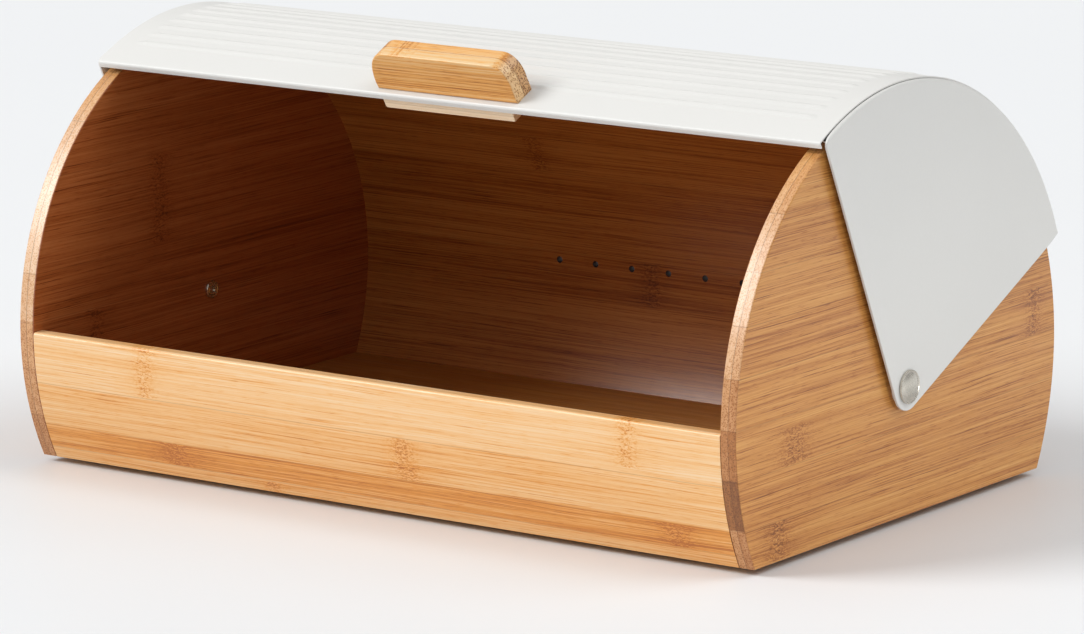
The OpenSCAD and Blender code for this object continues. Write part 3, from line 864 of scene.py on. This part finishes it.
def lid_end(side, name):
    """End plate: a sector whose rim is bent in, more along the arc, and the flange under the sheet."""
    outline, kinds = sector()
    spread = [1.0 if kind == "arc" else 0.0 for kind in kinds]
    for _ in range(3):
        spread = [(spread[i - 1] + s + spread[(i + 1) % len(spread)]) / 3 for i, s in enumerate(spread)]
    bends = [(0.35 + 0.95 * s) * MM for s in spread]
    depths = [side * (PLATE_OUT - (1.05 + 0.75 * s) * MM) for s in spread]
    layers = []
    for k in range(6):
        t = math.pi / 2 * k / 5
        across = [side * (PLATE_OUT - b * (1 - math.cos(t))) for b in bends]
        layers.append((across, [b * (1 - math.sin(t)) for b in bends]))
    layers += [(depths, 0.0), (depths, 0.8 * MM), (side * PLATE_IN, 0.9 * MM)]
    verts, faces = slab(outline, layers, on_x, hole=(0.0, 0.0, BORE_R))
    marks = [0] * len(faces)

    # The flange is stepped down under the sheet; its faces in the seam between them get a near-black
    # material, painted shade for the shadow in that gap
    far = PLATE_IN - 9 * MM
    ring = [
        (PLATE_IN - 0.35 * MM, SHEET_IN - 1.0 * MM), (PLATE_IN - 1.4 * MM, SHEET_IN - 1.1 * MM),
        (PLATE_IN - 2.2 * MM, SHEET_IN - 0.03 * MM), (far, SHEET_IN - 0.03 * MM),
        (far, SHEET_IN - 1.0 * MM), (PLATE_IN - 2.4 * MM, SHEET_IN - 1.0 * MM),
        (PLATE_IN - 1.2 * MM, SHEET_IN - 2.0 * MM), (PLATE_IN - 0.35 * MM, SHEET_IN - 2.0 * MM),
    ]
    start, steps, size = len(verts), 120, len(ring)
    for k in range(steps + 1):
        a = PLATE_FRONT + 0.9 + (PLATE_REAR - PLATE_FRONT - 1.5) * k / steps
        for x, r in ring:
            verts.append((side * x, *at(r, a)))
    for k in range(steps):
        p, q = start + k * size, start + (k + 1) * size
        for i in range(size):
            j = (i + 1) % size
            faces.append((p + i, p + j, q + j, q + i))
            marks.append(1 if i < 2 else 0)
    for k in (0, steps):
        faces.append(tuple(start + k * size + i for i in range(size)))
        marks.append(0)
    obj = build(f"lid_end_{name}", verts, faces, [lid_paint, seam_shade], 40, marks)
    finish_piece(obj, "lid", "lid_paint", f"lid_plate_{name}")


def in_grip(obj):
    """Turns a piece built upright to the handle's own angle."""
    obj.matrix_world = Matrix.Translation(PIVOT) @ Matrix.Rotation(math.radians(-GRIP), 4, "X")
    return obj


def handle():
    """Two laminations, rounded at both ends, with a fine groove where they meet."""
    half, top, foot_r = 38.5 * MM, LID_R + 19 * MM, LID_R - 0.1 * MM
    flat, wide, tall = 28.6 * MM, 9.5 * MM, 12 * MM
    low, mid = LID_R + 3 * MM, LID_R + 6.5 * MM
    shape = [(half, foot_r), (half - 0.15 * MM, low), (half - 0.4 * MM, mid)]
    corner = []
    for k in range(1, 12):
        t = math.pi / 2 * k / 12
        corner.append((flat + wide * math.cos(t) ** 0.95, top - tall + tall * math.sin(t) ** 0.95))
    shape += corner
    shape += [(flat * (1 - k / 6), top) for k in range(13)]
    shape += [(-x, z) for x, z in reversed(corner)]
    shape += [(0.25 * MM - half, mid), (0.3 * MM - half, low), (0.9 * MM - half, foot_r)]
    sides = eased(-6 * MM, 6 * MM, 0.8 * MM, 4)
    groove = [(-0.1 * MM, 0.0), (0.0, 0.09 * MM), (0.1 * MM, 0.0)]
    layers = sides[: len(sides) // 2] + groove + sides[len(sides) // 2 :]
    verts, faces = slab(shape, layers, lambda p, q, w: (p, w, q))
    obj = in_grip(build("handle_grip", verts, faces, [handle_wood], 40))
    finish_piece(obj, "lid", "bamboo_handle", "lid_handle")


def batten():
    """The bar inside the lid, a sector as thick as its angle, its corners rounded a little."""
    half, top, low, ease = 35.5 * MM, SHEET_IN - 0.05 * MM, 125.05 * MM, 1.2 * MM
    shape = rounded([(half, top, 0), (-half, top, 0), (-half, low, ease), (half, low, ease)])
    rising = [(-3.39, 0.5 * MM), (-3.3, 0.2 * MM), (-3.1, 0.0)]
    layers = rising + [(-angle, inset) for angle, inset in reversed(rising)]
    verts, faces = slab(shape, layers, lambda p, q, w: (p, *at(q, w)))
    obj = in_grip(build("batten_bar", verts, faces, [batten_wood], 40))
    finish_piece(obj, "lid", "bamboo_batten", "lid_batten")


def kept_nodes():
    """CAD nodes that keep their shape and get a material."""
    for node, material, slot in (
        ("back_panel", back_wood, "bamboo_back"),
        ("base_board", base_wood, "bamboo_base"),
        ("front_dowels", dowel_wood, "dowel_wood"),
        ("back_dowels", dowel_wood, "dowel_wood"),
        ("base_dowels", dowel_wood, "dowel_wood"),
        ("foot_screws", zinc, "screw_steel"),
        ("handle_screws", zinc, "screw_steel"),
        ("pivot_spacer_left", nylon, "spacer_nylon"),
        ("pivot_spacer_right", nylon, "spacer_nylon"),
    ):
        obj = frame["nodes"][node]
        obj.data.materials.clear()
        obj.data.materials.append(material)


# ---------------------------------------------------------------- floor, light and camera


def link(name, data):
    obj = bpy.data.objects.new(name, data)
    bpy.context.scene.collection.objects.link(obj)
    return obj


def ground():
    """A wide, flat, pale floor."""
    net = Net("floor_paper")
    wide = net.noise(net.object, 1.5, 2)
    grain = net.noise(net.object, 300.0, 2)
    shade = net.mix(net.span(wide, 0.3, 0.7), (0.792, 0.806, 0.820), (0.802, 0.816, 0.830))
    shade = net.mix(net.span(grain, 0.3, 0.7, 0.0, 0.03), shade, (0.76, 0.77, 0.78))
    n, size = 24, 16.0
    places = [-size + 2 * size * i / n for i in range(n + 1)]
    verts = [(x, y, 0.0) for y in places for x in places]
    corners = [j * (n + 1) + i for j in range(n) for i in range(n)]
    mesh = bpy.data.meshes.new("floor")
    mesh.from_pydata(verts, [], [(c, c + 1, c + n + 2, c + n + 1) for c in corners])
    mesh.materials.append(net.surface(shade, 0.5, level=0.2))
    obj = link("floor", mesh)


def studio():
    """An even pale room, a little brighter overhead."""
    world = bpy.data.worlds.new("studio")
    bpy.context.scene.world = world
    world.use_nodes = True
    tree = world.node_tree
    tree.nodes.clear()
    coord = tree.nodes.new("ShaderNodeTexCoord")
    parts = tree.nodes.new("ShaderNodeSeparateXYZ")
    band = tree.nodes.new("ShaderNodeValToRGB")
    back = tree.nodes.new("ShaderNodeBackground")
    out = tree.nodes.new("ShaderNodeOutputWorld")
    tree.links.new(coord.outputs["Generated"], parts.inputs[0])
    tree.links.new(parts.outputs[2], band.inputs[0])
    tree.links.new(band.outputs[0], back.inputs[0])
    tree.links.new(back.outputs[0], out.inputs[0])
    for element, place, grey in zip(band.color_ramp.elements, (0.0, 0.75), (0.40, 0.60)):
        element.position = place
        element.color = (grey, grey, grey, 1)


def sun(name, toward, power, angle):
    """A soft sun, seen from the object in the direction toward."""
    light = bpy.data.lights.new(name, "SUN")
    light.energy = power
    light.angle = math.radians(angle)
    obj = link(name, light)
    obj.rotation_mode = "QUATERNION"
    obj.rotation_quaternion = Vector(toward).to_track_quat("Z", "Y")


def strip(name, place, toward, wide, tall, power, spread):
    """A long soft light that shines in the direction toward, and isn't seen itself."""
    light = bpy.data.lights.new(name, "AREA")
    light.shape = "RECTANGLE"
    light.size, light.size_y = wide, tall
    light.energy = power
    light.spread = math.radians(spread)
    obj = link(name, light)
    obj.location = place
    obj.rotation_mode = "QUATERNION"
    obj.rotation_quaternion = (-Vector(toward)).to_track_quat("Z", "Y")
    obj.visible_camera = False


def camera(azimuth, height, roll, target, distance, lens):
    """A camera at an azimuth, height and roll in degrees, looking at a target."""
    azimuth, height, roll = math.radians(azimuth), math.radians(height), math.radians(roll)
    flat = math.cos(height)
    backward = Vector((math.sin(azimuth) * flat, -math.cos(azimuth) * flat, math.sin(height)))
    level = Vector((math.cos(azimuth), math.sin(azimuth), 0))
    upward = backward.cross(level)
    right = level * math.cos(roll) + upward * math.sin(roll)
    upward = upward * math.cos(roll) - level * math.sin(roll)
    data = bpy.data.cameras.new("camera")
    data.sensor_width = 36
    data.lens = lens
    data.clip_start, data.clip_end = 0.05, 60
    obj = link("camera", data)
    turned = Matrix((right, upward, backward)).transposed().to_4x4()
    obj.matrix_world = Matrix.Translation(target + backward * distance) @ turned
    bpy.context.scene.camera = obj


side_panels()
front_board()
for end in ("front", "rear"):
    for hand in ("left", "right"):
        foot(f"foot_{end}_{hand}")
for way, hand in ((-1, "left"), (1, "right")):
    pivot_head(way, hand)
    pivot_cap(way, hand)
lid_sheet()
for way, hand in ((-1, "left"), (1, "right")):
    lid_end(way, hand)
handle()
batten()
kept_nodes()

ground()
studio()
sun("key", (-0.62, -0.6, 0.6), 2.2, 28)
sun("rear", (0.45, 0.3, 0.65), 0.88, 40)
strip("low_right", (0.75, 0.0, 0.05), (-1.0, 0.0, 0.0), 0.7, 0.08, 0.065, 36)
camera(35.95, 11.64, -0.48, Vector((3.89 * MM, 0, 69.95 * MM)), 2.69559, 199.36)
bpy.context.scene.view_settings.view_transform = "Standard"
